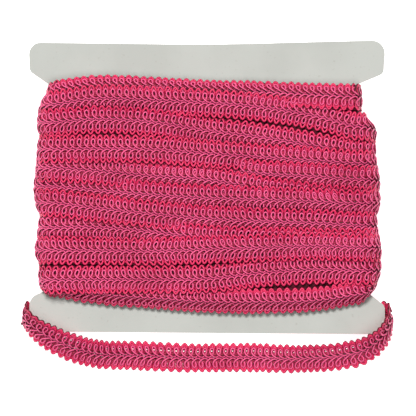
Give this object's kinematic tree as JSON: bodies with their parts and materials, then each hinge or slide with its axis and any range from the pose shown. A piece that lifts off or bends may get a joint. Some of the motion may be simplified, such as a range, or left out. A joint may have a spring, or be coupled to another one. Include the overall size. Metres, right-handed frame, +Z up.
{
  "type": "gimp braid on a card",
  "caption": "Openwork gimp braid wound in overlapping rows round the waist of a flat greyboard card, with one loose turn of the braid hanging below it.",
  "frame": {"origin": "on the surface the roll lies on, under the middle of its outline", "axes": "+X along the card to the right, +Y towards the card's upper tab, +Z up out of the card's face"},
  "size_m": [0.1614, 0.1436, 0.0225],
  "materials": {
    "greyboard": "uncoated greyboard, matt",
    "gimp": "rayon gimp cord, satin"
  },
  "bodies": {
    "root": {"card": "greyboard", "wound_braid": "gimp", "loose_turn": "gimp"}
  },
  "joints": []
}
